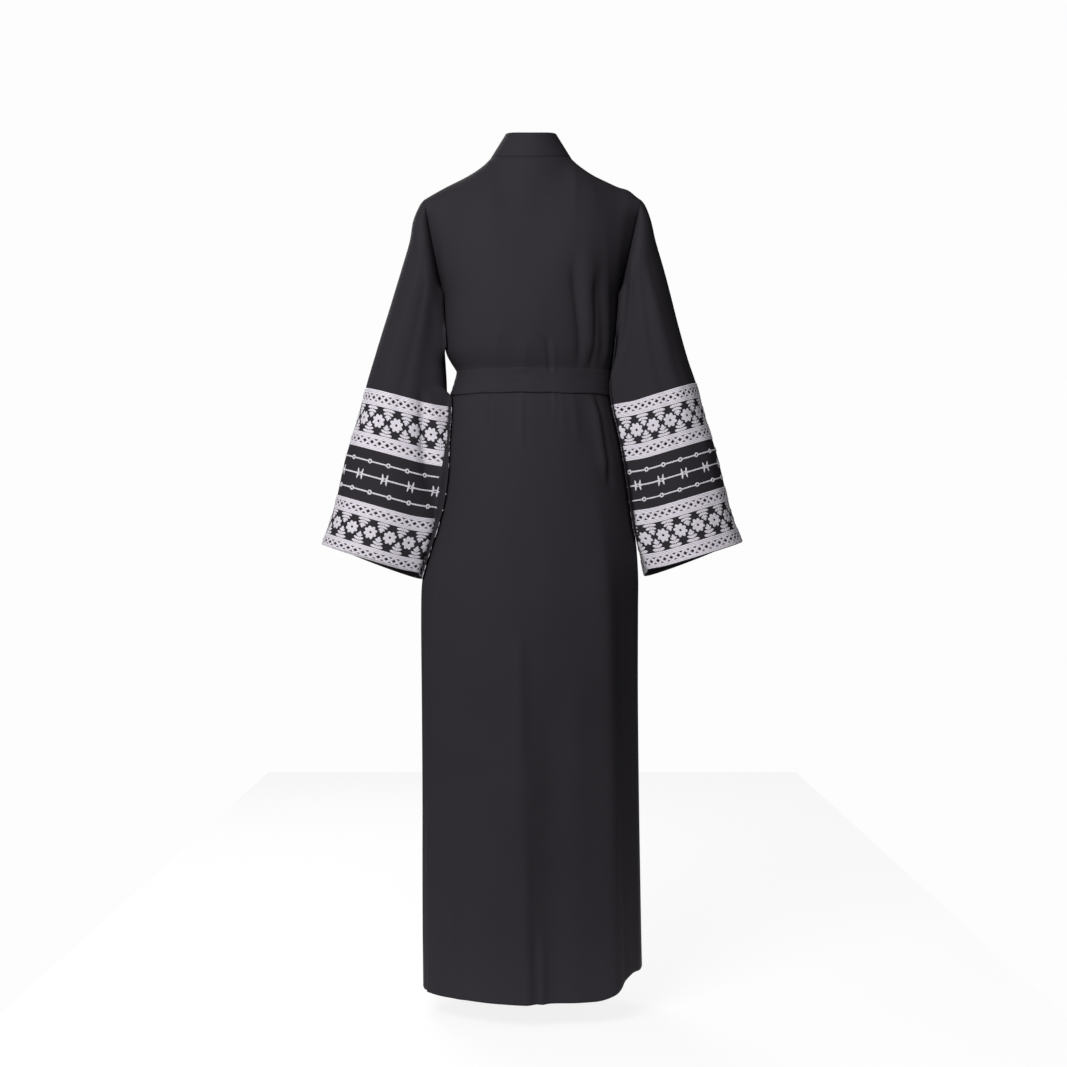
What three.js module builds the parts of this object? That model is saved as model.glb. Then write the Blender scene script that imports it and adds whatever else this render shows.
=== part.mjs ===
// A wrap-front abaya with bell sleeves, worn shape, hollow inside.
// Millimetres, +Z up. The wearer faces -Y and the wearer's left is +X.
// The origin is the middle of the shoulder line, where the wearer holds the garment up.
import * as THREE from "three";

// ---- driving dimensions ----
const wall = 1.6; // cloth wall
const seamGap = 0.35; // each piece stops this far short of its seam
const roundness = 2.3; // superellipse power of the trunk's plan
const underarmZ = -215;
const waistZ = -360; // bodice and skirt meet here, under the belt
const hemZ = -1389;
const hemRise = 33; // the hem climbs this much at the wearer's right side
const hemClimb = { start: 38, full: 72, ease: 120, level: 165 }; // degrees to the right of the back
const shoulderY = -2; // the shoulder seam lies this far from the side seams' plane
const neckPoint = { x: 70, z: 27 }; // where the shoulder seam meets the collar
const shoulderTip = { left: 184, right: 189, z: -43 };
const shoulderDip = 70; // how hollow the shoulder seam is near the neck
const armholeDepth = 52; // half of the armhole, front to back
const backNeck = { y: 60, z: 20 }; // centre back, at the collar seam
const bandWidth = 46; // the collar and the front bands
const collarTop = { x: 44, y: 50, side: 69, back: 63 }; // the collar's upper edge
const bandTilt = 58; // degrees that the band turns up at the side of the neck
const vBottom = -355; // the straight seams of collar and fronts reach the centre line here
const overlapOut = 2.6; // the right front lies this far outside the left one
const overlapStart = { x: -85, fullX: -55, z: -25, fullZ: -90 }; // it steps out over these
const beltTop = -339;
const beltBottom = -381;
const beltOut = 1.3; // clear air between cloth and belt
const beltStep = { full: 60, level: 95 }; // the belt rides over the overlap up to these distances
const knot = { x: 0, z: -360, wide: 54, tall: 47, deep: 22, pinch: 0.16, slant: 2.5 };
const tail = { width: 42, gathered: 0.48, top: -350, atKnot: 12.5, apart: 24, drift: 9, lift: 0.7 };
const tailBottom = { left: -742, right: -708 };
const tailRest = { start: -385, full: -420 }; // below the belt the ends come to lie on the skirt
const neckShare = 0.45; // share of each back half that ends at the neckline
const borderWall = 1;
const borderOut = 0.3;
const cuffDrop = 11; // the front of the cuff hangs lower

// ---- trunk: half-widths to the wearer's left and right, depths behind and in front ----
const trunk = [
  { z: -215, left: 150, right: 150, back: 106, front: 112 },
  { z: -262, left: 149, right: 148.2, back: 105, front: 112 },
  { z: -305, left: 146.4, right: 144.8, back: 101, front: 107 },
  { z: -325, left: 136.5, right: 139, back: 96, front: 101 },
  { z: -340, left: 127.8, right: 135.4, back: 90, front: 95 },
  { z: -360, left: 131, right: 135.2, back: 89, front: 94 },
  { z: -381, left: 137.6, right: 135.8, back: 92, front: 95 },
  { z: -400, left: 139.8, right: 141.4, back: 98, front: 98 },
  { z: -456, left: 143.1, right: 153, back: 108, front: 103 },
  { z: -516, left: 150.5, right: 165, back: 118, front: 108 },
  { z: -576, left: 158, right: 173, back: 126, front: 112 },
  { z: -636, left: 171, right: 181, back: 131, front: 116 },
  { z: -690, left: 185, right: 184.5, back: 134, front: 118 },
  { z: -740, left: 188, right: 184.5, back: 137, front: 120 },
  { z: -900, left: 187.5, right: 184, back: 141, front: 126 },
  { z: -1075, left: 186, right: 185, back: 143, front: 130 },
  { z: -1250, left: 186, right: 188, back: 145, front: 134 },
  { z: -1400, left: 185, right: 191, back: 146, front: 136 },
];

// ---- largest folds of the trunk: turn is degrees from the centre back, + to the wearer's left ----
const folds = [
  { turnTop: 66, turnBottom: 69, top: -690, bottom: -1330, wide: 8, out: 4 },
  { turnTop: 75, turnBottom: 77, top: -690, bottom: -1330, wide: 6, out: -4 },
  { turnTop: 8, turnBottom: 2, top: -620, bottom: -1500, wide: 11, out: 5 },
  { turnTop: -12, turnBottom: -10, top: -820, bottom: -1500, wide: 9, out: -5 },
  { turnTop: 50, turnBottom: 44, top: -1130, bottom: -1500, wide: 12, out: -4 },
  { turnTop: -47, turnBottom: -50, top: -560, bottom: -1500, wide: 10, out: 4 },
  { turnTop: -66, turnBottom: -68, top: -560, bottom: -1500, wide: 11, out: -5 },
  { turnTop: -44, turnBottom: -56, top: -120, bottom: -335, wide: 9, out: 5 },
  { turnTop: -57, turnBottom: -60, top: -385, bottom: -520, wide: 7, out: 4 },
  { turnTop: 112, turnBottom: 118, top: -480, bottom: -1500, wide: 12, out: -6 },
  { turnTop: 140, turnBottom: 142, top: -560, bottom: -1500, wide: 12, out: 6 },
  { turnTop: -116, turnBottom: -120, top: -470, bottom: -1500, wide: 13, out: -6 },
  { turnTop: -141, turnBottom: -146, top: -540, bottom: -1500, wide: 12, out: 6 },
];

// ---- sleeves: one row for each section, from the armhole to the cuff ----
// [outer x, outer z, inner x, inner z, half depth], x being the distance from the centre line
const sleeveSections = {
  left: [
    [184, -43, 150, -215, 52],
    [192, -54, 151.2, -223, 54],
    [203, -80, 151.8, -240, 57],
    [209, -116, 150.5, -264, 59],
    [222, -162, 148.5, -294, 60],
    [238, -213, 147, -324, 60],
    [255, -267, 145.5, -353, 59],
    [270, -319, 144, -380, 58],
    [284, -366, 142.5, -404, 57],
    [297, -413.5, 146, -454, 58.5],
    [311, -460.5, 152.5, -504, 60],
    [322, -500.5, 158, -546, 61.5],
    [331, -540, 164, -587, 63],
    [343, -587.5, 175.5, -637, 65],
    [359, -635, 189, -688, 67],
  ],
  right: [
    [189, -43, 150, -215, 52],
    [197, -54, 151.2, -223, 54],
    [207, -80, 151.6, -240, 57],
    [215, -116, 150, -264, 59],
    [228, -162, 147.5, -294, 60],
    [242, -213, 144.5, -324, 60],
    [256, -267, 140, -353, 59],
    [270, -319, 140.5, -380, 58],
    [285.5, -364, 146, -405, 57],
    [299, -412, 157, -455, 58.5],
    [313, -459, 166.5, -503, 60],
    [324, -499, 173, -545, 61.5],
    [334, -538, 179, -585, 63],
    [346, -585, 188, -634, 65],
    [363, -631, 198, -683, 67],
  ],
};
const elbowBorder = [8, 9, 10]; // sleeve sections that the upper border covers
const cuffBorder = [12, 13, 14];

// soft lengthwise folds of a sleeve: around is degrees from the outer edge, 90 is the back
const sleeveFolds = [
  { around: 62, from: 3, to: 9, wide: 22, out: 4 },
  { around: 118, from: 2, to: 8, wide: 20, out: -5 },
  { around: 150, from: 4, to: 13, wide: 18, out: 3.5 },
  { around: 255, from: 3, to: 10, wide: 24, out: -5 },
  { around: 300, from: 4, to: 13, wide: 24, out: 4 },
];

// ---- mesh density ----
const yokeRows = [0, 0.12, 0.26, 0.4, 0.54, 0.68, 0.8, 0.9, 1];
const trunkRows = [
  0, 0.035, 0.077, 0.094, 0.106, 0.1235, 0.1414, 0.158, 0.205, 0.256, 0.307, 0.36, 0.405, 0.46, 0.54,
  0.63, 0.72, 0.81, 0.9, 1,
];
const backColumns = 30;
const frontColumns = 9;
const sleeveColumns = 28;
const beltColumns = 60;

// ---- colours ----
const blackCrepe = { color: 0x343235, roughness: 0.62, metalness: 0 };
const blackTrim = { color: 0x38363a, roughness: 0.6, metalness: 0 };
const whiteThread = { color: 0xe8e3ea, roughness: 0.5, metalness: 0 };

const radians = THREE.MathUtils.degToRad;
const smooth = (x, low, high) => THREE.MathUtils.smoothstep(x, low, high);
const mix = THREE.MathUtils.lerp;
const steps = (count) => Array.from({ length: count + 1 }, (_, i) => i / count);

// A cubic through the rows of a table, read at `at`; keys fall from row to row.
function readTable(rows, at, column) {
  let i = 0;
  while (i < rows.length - 2 && at < rows[i + 1].z) i += 1;
  const a = rows[i];
  const b = rows[i + 1];
  const before = rows[Math.max(i - 1, 0)];
  const after = rows[Math.min(i + 2, rows.length - 1)];
  const span = b.z - a.z;
  const t = Math.min(1, Math.max(0, (at - a.z) / span));
  const slopeA = ((b[column] - before[column]) / (b.z - before.z || 1)) * span;
  const slopeB = ((after[column] - a[column]) / (after.z - a.z || 1)) * span;
  const t2 = t * t;
  const t3 = t2 * t;
  return (
    (2 * t3 - 3 * t2 + 1) * a[column] +
    (t3 - 2 * t2 + t) * slopeA +
    (3 * t2 - 2 * t3) * b[column] +
    (t3 - t2) * slopeB
  );
}

// How far the folds push the trunk out at a turn and a height.
function foldOut(turn, z) {
  let out = 0;
  for (const fold of folds) {
    const along = (fold.top - z) / (fold.top - fold.bottom);
    if (along <= 0 || along >= 1) continue;
    const centre = mix(fold.turnTop, fold.turnBottom, along);
    const across = (turn - centre) / fold.wide;
    const grow = smooth(along, 0, 0.25) * (fold.bottom < hemZ ? 1 : 1 - smooth(along, 0.8, 1));
    out += fold.out * Math.exp(-across * across) * grow;
  }
  return out;
}

// The trunk's outer face: turn in degrees from the centre back, + to the wearer's left.
function trunkPoint(turn, z, out = 0) {
  const a = radians(turn);
  const sin = Math.sin(a);
  const cos = Math.cos(a);
  const width = readTable(trunk, z, sin >= 0 ? "left" : "right");
  const depth = readTable(trunk, z, cos >= 0 ? "back" : "front");
  const reach =
    (Math.abs(sin) / width) ** roundness + (Math.abs(cos) / depth) ** roundness;
  const radius = reach ** (-1 / roundness) + foldOut(turn, z) + out;
  return new THREE.Vector3(radius * sin, radius * cos, z);
}

// The turn on the front at which the trunk is x from the centre line.
function frontTurn(x, z) {
  let turn = 180 * Math.sign(x || 1);
  for (let i = 0; i < 8; i += 1) {
    const p = trunkPoint(turn, z);
    const radius = Math.hypot(p.x, p.y);
    turn = 180 - THREE.MathUtils.radToDeg(Math.asin(x / radius));
    if (turn > 180) turn -= 360;
  }
  return turn;
}

// Hem height at a turn: level, but higher at the wearer's right side.
function hemAt(turn) {
  const { start, full, ease, level } = hemClimb;
  const right = turn < 0 ? smooth(-turn, start, full) * (1 - smooth(-turn, ease, level)) : 0;
  return hemZ + hemRise * right;
}

// Height of the trunk at v: 0 at the underarm, -waistShare at the waist, -1 at the hem.
const waistShare = (underarmZ - waistZ) / (underarmZ - hemZ);
function heightAt(v, turn) {
  if (-v < waistShare) return mix(underarmZ, waistZ, -v / waistShare);
  return mix(waistZ, hemAt(turn), (-v - waistShare) / (1 - waistShare));
}

const tipX = (side) => (side > 0 ? shoulderTip.left : shoulderTip.right);

// The shoulder seam, from the collar (0) to the armhole (1).
function shoulderPoint(share, side, y) {
  const x = mix(neckPoint.x, tipX(side), share);
  const dip = shoulderDip * share * (1 - share) ** 3;
  return new THREE.Vector3(side * x, y, mix(neckPoint.z, shoulderTip.z, share) - dip);
}

// Carries a point up from underarm level to the shoulder or neckline.
// `edge` is 0 at the centre and 1 at the armhole, `round` says how far the profile rolls over.
function yokePoint(low, high, rise, edge, round, facing) {
  const a = (rise * Math.PI) / 2;
  const power = 0.84;
  const rolled = { across: 1 - Math.cos(a) ** power, up: Math.sin(a) ** power };
  const plain = { across: rise ** 1.8, up: rise };
  const atEdge = edge ** 3;
  const ring = (1 - Math.cos(rise * Math.PI)) / 2;
  const across = mix(mix(plain.across, rolled.across, round), ring, atEdge);
  const up = mix(mix(plain.up, rolled.up, round), ring, atEdge);
  const bulge = facing * armholeDepth * Math.sin(rise * Math.PI) * edge ** 2.2;
  return new THREE.Vector3(
    mix(low.x, high.x, across),
    mix(low.y, high.y, across) + bulge,
    mix(low.z, high.z, up),
  );
}

// Back panel: u runs from the wearer's right armhole to the left one, v from -1 (hem) over 0
// (underarm) to 1 (shoulder and neckline).
function backPoint(u, v) {
  const s = 2 * u - 1;
  const side = s < 0 ? -1 : 1;
  const edge = Math.abs(s);
  const turn = (90 - 0.2) * s;
  if (v <= 0) return trunkPoint(turn, heightAt(v, turn));
  const y = shoulderY + seamGap;
  let high;
  if (edge < neckShare) {
    const a = ((edge / neckShare) * Math.PI) / 2;
    high = new THREE.Vector3(
      side * neckPoint.x * Math.sin(a),
      y + (backNeck.y - y) * Math.cos(a),
      mix(backNeck.z, neckPoint.z, Math.sin(a) ** 2) - seamGap,
    );
  } else {
    high = shoulderPoint((edge - neckShare) / (1 - neckShare), side, y);
  }
  const round = smooth(edge, 0.05, 0.6);
  return yokePoint(trunkPoint(turn, underarmZ), high, v, edge, round, 1);
}

// The seam between front and band: a straight line from the neck point to the centre line.
// It is given as a distance past the centre line.
function seamX(z) {
  return Math.min(0, -neckPoint.x * ((z - vBottom) / (neckPoint.z - vBottom)));
}

// How far forwards the right front and its band stand, where they cross over the left ones.
function layerOut(side, x, z) {
  if (side > 0) return 0;
  const across = smooth(x, overlapStart.x, overlapStart.fullX);
  return overlapOut * across * smooth(-z, -overlapStart.z, -overlapStart.fullZ);
}

// Front panel of one side: u from the band seam to the side seam, v as on the back.
function frontPoint(side, u, v) {
  const turnAt = (z, share) => {
    const start = frontTurn(-side * (seamX(z) - seamGap), z);
    return mix(start * side < 0 ? start + side * 360 : start, side * 90.2, share);
  };
  const rising = (share) => {
    const low = trunkPoint(turnAt(underarmZ, share), underarmZ);
    const high = shoulderPoint(share, side, shoulderY - seamGap);
    return yokePoint(low, high, v, share, mix(0.45, 1, smooth(share, 0, 0.5)), -1);
  };
  let p;
  if (v <= 0) {
    const z = heightAt(v, turnAt(hemZ, u));
    p = trunkPoint(turnAt(z, u), z);
  } else {
    p = rising(u);
    const edge = rising(0);
    p.x += (-side * (seamX(edge.z) - seamGap) - edge.x) * (1 - u) ** 3; // a straight neck edge
  }
  p.y -= layerOut(side, p.x, p.z);
  return p;
}

// Front band below the underarm: u across it from seam to free edge, v from 0 to -1.
function bandPoint(side, u, v) {
  const top = underarmZ - 2 * seamGap;
  const xAt = (z) => -side * (seamX(z) + seamGap + u * bandWidth);
  const z = Math.min(top, heightAt(v, frontTurn(xAt(hemZ), hemZ)));
  const p = trunkPoint(frontTurn(xAt(z), z), z);
  p.y -= layerOut(side, p.x, z);
  return p;
}

// Collar: q is 0 at the centre back, 1 at the shoulder seam and 2 at underarm level; w goes
// from the seam (0) to the free edge (1).
function collarPoint(side, q, w) {
  if (q <= 1) {
    const a = (q * Math.PI) / 2;
    const sin = Math.sin(a);
    const cos = Math.cos(a);
    const seam = new THREE.Vector3(
      side * neckPoint.x * sin,
      shoulderY + (backNeck.y - shoulderY) * cos,
      mix(backNeck.z, neckPoint.z, sin * sin) + seamGap,
    );
    const top = new THREE.Vector3(
      side * collarTop.x * sin,
      shoulderY + collarTop.y * cos,
      mix(collarTop.back, collarTop.side, sin * sin),
    );
    return seam.lerp(top, w);
  }
  const rise = 2 - q;
  const p = frontPoint(side, 0, Math.max(rise, 1e-6));
  const tilt = radians(bandTilt * rise ** 1.8);
  const sideHeight = Math.hypot(neckPoint.x - collarTop.x, collarTop.side - neckPoint.z);
  const reach = w * mix(bandWidth, sideHeight, rise ** 3);
  const seam = p.clone();
  p.x -= side * (2 * seamGap + reach * Math.cos(tilt));
  p.z += reach * Math.sin(tilt);
  const chestY = (x) => trunkPoint(frontTurn(x, underarmZ), underarmZ).y - layerOut(side, x, underarmZ);
  p.y += (chestY(p.x) - chestY(seam.x)) * (1 - smooth(rise, 0, 0.35));
  return p;
}

// Belt: turn as on the trunk, z from its lower to its upper edge.
function beltPoint(turn, z, out) {
  const p = trunkPoint(turn, z, out);
  if (p.y < 0) p.y -= overlapOut * (1 - smooth(Math.abs(p.x), beltStep.full, beltStep.level));
  return p;
}

// Hanging belt end: it comes out behind the knot, spreads, and lies on the skirt.
function tailPoint(side, u, v) {
  const z = mix(tail.top, side > 0 ? tailBottom.left : tailBottom.right, v);
  const spread = smooth(v, 0.04, 0.3);
  const wide = mix(tail.gathered, 1, spread) * tail.width;
  const x = knot.x + side * (mix(tail.atKnot, tail.apart, spread) + tail.drift * v) + (u - 0.5) * wide;
  const overBelt = beltOut + wall + 2.5 * seamGap;
  const lift = mix(overBelt, tail.lift, smooth(-z, -tailRest.start, -tailRest.full)) + wall;
  const p = trunkPoint(frontTurn(x, z), z);
  p.y -= overlapOut + lift;
  return p;
}

// Sleeve: k counts sections from the armhole, `around` is degrees from the outer edge, 90 the back.
function sleevePoint(side, k, around, out = 0) {
  const rows = side > 0 ? sleeveSections.left : sleeveSections.right;
  const i = Math.min(Math.floor(k), rows.length - 2);
  const t = k - i;
  const [ox, oz, ix, iz, deep] = rows[i].map((value, j) => mix(value, rows[i + 1][j], t));
  const a = radians(around);
  const halfX = (ox - ix) / 2;
  const halfZ = (oz - iz) / 2;
  const half = Math.hypot(halfX, halfZ);
  let push = out;
  for (const fold of sleeveFolds) {
    const across = (around - fold.around) / fold.wide;
    const along = smooth(k, fold.from, fold.from + 2) * (1 - smooth(k, fold.to - 1, fold.to + 1));
    push += fold.out * Math.exp(-across * across) * along;
  }
  const last = rows.length - 1;
  const start = 2 * seamGap * Math.max(0, 1 - k); // clear of the armhole seam
  const lower = cuffDrop * (k / last) ** 4 * Math.max(0, Math.cos(radians(around - 235)));
  const cos = Math.cos(a) * (1 + push / half);
  return new THREE.Vector3(
    side * ((ox + ix) / 2 + halfX * cos + start),
    shoulderY + (deep + push) * Math.sin(a),
    (oz + iz) / 2 + halfZ * cos - lower,
  );
}

// Unit normal of a face given by point(u, v), never reading past the limits [u0, u1, v0, v1].
function faceNormal(point, u, v, [u0, u1, v0, v1]) {
  const step = 1e-4;
  const along = point(Math.min(u + step, u1), v).sub(point(Math.max(u - step, u0), v));
  const up = point(u, Math.min(v + step, v1)).sub(point(u, Math.max(v - step, v0)));
  return along.cross(up).normalize();
}

// Turns a face given by point(u, v) into a closed wall: the outer face, the inner face one
// thickness behind it, and a rim along every free edge.
function clothWall(point, us, vs, { thick = wall, closed = false, inside, mitre }) {
  const columns = closed ? us.length - 1 : us.length;
  const limits = [closed ? -Infinity : us[0], closed ? Infinity : us.at(-1), vs[0], vs.at(-1)];
  const middle = { u: us[Math.floor(us.length / 2)], v: vs[Math.floor(vs.length / 2)] };
  const away = point(middle.u, middle.v).sub(inside);
  const sign = Math.sign(away.dot(faceNormal(point, middle.u, middle.v, limits)));
  const normalAt = (u, v) => {
    const own = faceNormal(point, u, v, limits).multiplyScalar(sign);
    return mitre ? mitre(u, v, own) : own;
  };
  const outer = [];
  const inner = [];
  for (const v of vs) {
    for (let i = 0; i < columns; i += 1) {
      const p = point(us[i], v);
      outer.push(p);
      inner.push(p.clone().addScaledVector(normalAt(us[i], v), -thick));
    }
  }
  const points = outer.concat(inner);
  const index = [];
  const at = (layer, i, j) => layer * outer.length + j * columns + (i % columns);
  const quad = (a, b, c, d) => index.push(a, b, c, a, c, d);
  const cells = closed ? columns : columns - 1;
  for (let j = 0; j < vs.length - 1; j += 1) {
    for (let i = 0; i < cells; i += 1) {
      quad(at(0, i, j), at(0, i + 1, j), at(0, i + 1, j + 1), at(0, i, j + 1));
      quad(at(1, i, j), at(1, i, j + 1), at(1, i + 1, j + 1), at(1, i + 1, j));
    }
  }
  const top = vs.length - 1;
  for (let i = 0; i < cells; i += 1) {
    quad(at(0, i, 0), at(1, i, 0), at(1, i + 1, 0), at(0, i + 1, 0));
    quad(at(0, i, top), at(0, i + 1, top), at(1, i + 1, top), at(1, i, top));
  }
  if (!closed) {
    for (let j = 0; j < top; j += 1) {
      quad(at(0, 0, j), at(0, 0, j + 1), at(1, 0, j + 1), at(1, 0, j));
      quad(at(0, cells, j), at(1, cells, j), at(1, cells, j + 1), at(0, cells, j + 1));
    }
  }
  return solidGeometry(points, index);
}

// Geometry from points and triangles, turned the right way round by its own volume.
function solidGeometry(points, index) {
  let volume = 0;
  for (let i = 0; i < index.length; i += 3) {
    const [a, b, c] = [points[index[i]], points[index[i + 1]], points[index[i + 2]]];
    volume += a.dot(b.clone().cross(c));
  }
  if (volume < 0) index.reverse();
  const geometry = new THREE.BufferGeometry().setFromPoints(points).setIndex(index);
  geometry.computeVertexNormals();
  return geometry;
}

function piece(name, geometry, finish) {
  const mesh = new THREE.Mesh(geometry, new THREE.MeshStandardMaterial(finish));
  mesh.name = name;
  return mesh;
}

// ---- panels ----
// A gap under the belt parts bodice from skirt.
const waistGap = seamGap / (underarmZ - hemZ);
const lowered = trunkRows.map((row) => -row).reverse();
const bodiceRows = [
  waistGap - waistShare,
  ...lowered.filter((row) => row > 2 * waistGap - waistShare),
  ...yokeRows.slice(1),
];
const skirtRows = [...lowered.filter((row) => row < -waistShare - 2 * waistGap), -waistShare - waistGap];
const trunkCentre = new THREE.Vector3(0, 0, -700);
const sideName = (side) => (side > 0 ? "left" : "right");

function backPanel(name, rows) {
  const made = clothWall(backPoint, steps(backColumns), rows, { inside: trunkCentre });
  return piece(name + "_back", made, blackCrepe);
}

function frontPanel(name, rows, side) {
  const face = (u, v) => frontPoint(side, u, v);
  const made = clothWall(face, steps(frontColumns), rows, { inside: trunkCentre });
  return piece(name + "_front_" + sideName(side), made, blackCrepe);
}

function frontBand(side) {
  const face = (u, v) => bandPoint(side, u, v);
  const made = clothWall(face, steps(2), lowered, { inside: trunkCentre });
  return piece("front_band_" + sideName(side), made, blackTrim);
}

function collar() {
  const half = [...steps(8), ...yokeRows.slice(0, -1).reverse().map((row) => 2 - row)];
  const stations = [...half.slice(1).reverse().map((q) => -q), ...half];
  const face = (u, v) => collarPoint(u < 0 ? -1 : 1, Math.abs(u), v);
  // along the front's neck edge the collar's wall has the front's own slant
  const mitre = (u, v, own) => {
    if (v > 0 || Math.abs(u) <= 1) return own;
    const front = (a, b) => frontPoint(u < 0 ? -1 : 1, a, b);
    const normal = faceNormal(front, 0, 2 - Math.abs(u), [0, 1, -1, 1]);
    return normal.multiplyScalar(Math.sign(normal.dot(own)));
  };
  const made = clothWall(face, stations, steps(2), {
    inside: new THREE.Vector3(0, -20, 40),
    mitre,
  });
  return piece("collar", made, blackTrim);
}

function sleeve(side) {
  const sections = sleeveSections.left.map((_, k) => k);
  const face = (u, v) => sleevePoint(side, v, 360 * u);
  const inside = sleevePoint(side, 7, 0).lerp(sleevePoint(side, 7, 180), 0.5);
  const across = sleevePoint(side, 0, 90).sub(sleevePoint(side, 0, 270));
  const seamPlane = sleevePoint(side, 0, 0).sub(sleevePoint(side, 0, 180)).cross(across).normalize();
  const mitre = (u, v, own) => (v > 0 ? own : own.projectOnPlane(seamPlane).normalize());
  const made = clothWall(face, steps(sleeveColumns), sections, { closed: true, inside, mitre });
  return piece("sleeve_" + sideName(side), made, blackCrepe);
}

function border(side, name, sections) {
  const inside = sleevePoint(side, sections[1], 0).lerp(sleevePoint(side, sections[1], 180), 0.5);
  const face = (u, v) => sleevePoint(side, v, 360 * u, borderOut + borderWall);
  const made = clothWall(face, steps(sleeveColumns), sections, {
    thick: borderWall,
    closed: true,
    inside,
  });
  return piece("border_" + name + "_" + sideName(side), made, whiteThread);
}

function belt() {
  const face = (u, v) => beltPoint(360 * u, mix(beltBottom, beltTop, v), beltOut + wall);
  const made = clothWall(face, steps(beltColumns), steps(2), {
    closed: true,
    inside: new THREE.Vector3(0, 0, beltTop),
  });
  return piece("belt", made, blackTrim);
}

// The knot: a pillowy block with a waist where the belt crosses itself, flat behind.
function beltKnot() {
  const ball = new THREE.SphereGeometry(1, 18, 10);
  ball.deleteAttribute("normal");
  ball.deleteAttribute("uv");
  const lowest = (tail.top - knot.z + knot.tall / 2) / (tail.top - tailBottom.left);
  const back = tailPoint(1, 0.5, lowest).y - 2 * seamGap;
  const place = ball.getAttribute("position");
  for (let i = 0; i < place.count; i += 1) {
    const p = new THREE.Vector3().fromBufferAttribute(place, i);
    const square = (Math.abs(p.x) ** 3 + Math.abs(p.z) ** 3 + Math.abs(p.y) ** 3) ** (-1 / 3);
    p.multiplyScalar(square);
    const pinch = 1 - knot.pinch * Math.exp(-((p.x / 0.45) ** 2));
    place.setXYZ(
      i,
      knot.x + (p.x * knot.wide) / 2,
      back + Math.min(0, p.y * knot.deep * pinch),
      knot.z + (p.z * knot.tall * pinch) / 2 + knot.slant * p.x,
    );
  }
  ball.computeVertexNormals();
  return piece("belt_knot", ball, blackTrim);
}

function beltTail(side) {
  const face = (u, v) => tailPoint(side, u, v);
  const made = clothWall(face, steps(3), steps(14), { inside: trunkCentre });
  return piece("belt_tail_" + sideName(side), made, blackTrim);
}

const abaya = new THREE.Group();
abaya.add(backPanel("bodice", bodiceRows), backPanel("skirt", skirtRows), collar());
abaya.add(belt(), beltKnot(), beltTail(1), beltTail(-1));
for (const side of [1, -1]) {
  abaya.add(frontPanel("bodice", bodiceRows, side), frontPanel("skirt", skirtRows, side));
  abaya.add(frontBand(side), sleeve(side));
  abaya.add(border(side, "elbow", elbowBorder), border(side, "cuff", cuffBorder));
}

export default abaya;
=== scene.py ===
import functools
import math
import bpy
import bmesh
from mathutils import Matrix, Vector


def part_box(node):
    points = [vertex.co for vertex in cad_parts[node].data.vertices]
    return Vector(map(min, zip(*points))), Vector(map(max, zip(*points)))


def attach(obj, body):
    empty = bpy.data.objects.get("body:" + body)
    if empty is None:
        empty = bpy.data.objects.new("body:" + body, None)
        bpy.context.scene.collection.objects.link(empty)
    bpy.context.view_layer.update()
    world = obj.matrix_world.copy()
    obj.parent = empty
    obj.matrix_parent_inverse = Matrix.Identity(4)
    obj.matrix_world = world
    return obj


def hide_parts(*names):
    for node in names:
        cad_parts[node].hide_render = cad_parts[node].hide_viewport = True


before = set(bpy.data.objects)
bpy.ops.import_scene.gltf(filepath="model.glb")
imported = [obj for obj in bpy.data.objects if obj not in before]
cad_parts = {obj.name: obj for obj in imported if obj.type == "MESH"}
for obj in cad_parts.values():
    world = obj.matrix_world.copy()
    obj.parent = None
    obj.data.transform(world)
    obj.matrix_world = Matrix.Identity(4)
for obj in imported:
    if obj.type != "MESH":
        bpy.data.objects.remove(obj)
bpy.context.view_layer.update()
print("frame loaded:", len(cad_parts), "nodes")

mm = 0.001  # lengths below are millimetres until they reach a mesh

garment = {
    "roundness": 2.3,  # superellipse power of the trunk's plan
    "underarmZ": -215,
    "hemZ": -1389,
    "hemRise": 33,  # at the wearer's right side
    "shoulderY": -2,
    "neckX": 70,
    "neckZ": 27,
    "tipLeft": 184,
    "tipRight": 189,
    "tipZ": -43,
    "shoulderDip": 70,
    "bumpAt": 0.83,  # where the right shoulder stands up, as a share of its length
    "bumpWide": 0.11,
    "bumpHigh": 4.5,
    "armholeDepth": 52,
    "backNeckY": 60,
    "backNeckZ": 20,
    "bandWidth": 46,
    "topX": 44,  # the collar's upper edge
    "topY": 50,
    "topSide": 69,
    "topBack": 63,
    "bandTilt": 58,
    "vBottom": -355,
    "overlapOut": 2.6,  # how far the right front lies off the left one
    "beltTop": -339,
    "beltBottom": -381,
    "neckShare": 0.45,
    "cuffDrop": 11,
    "armholeSink": 20,
    "armholeSinkWide": 15,
    "lean": 3,  # the sleeve leans over the body's edge by this and a share of its half-width
    "leanShare": 0.2,
    "leanAt": 145,  # degrees round the sleeve from its outer edge
    "leanWide": 13,
    "clear": 4.5,  # air between the leaning sleeve and the body
    "clearEdge": 0.6,
    "clearReach": 60,  # the sleeve moves back by no more than this
    "seam": 0.02,  # half of the line of air left in a seam
    "seamSink": 1.0,  # how far the cloth dips where it is stitched
}

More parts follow.
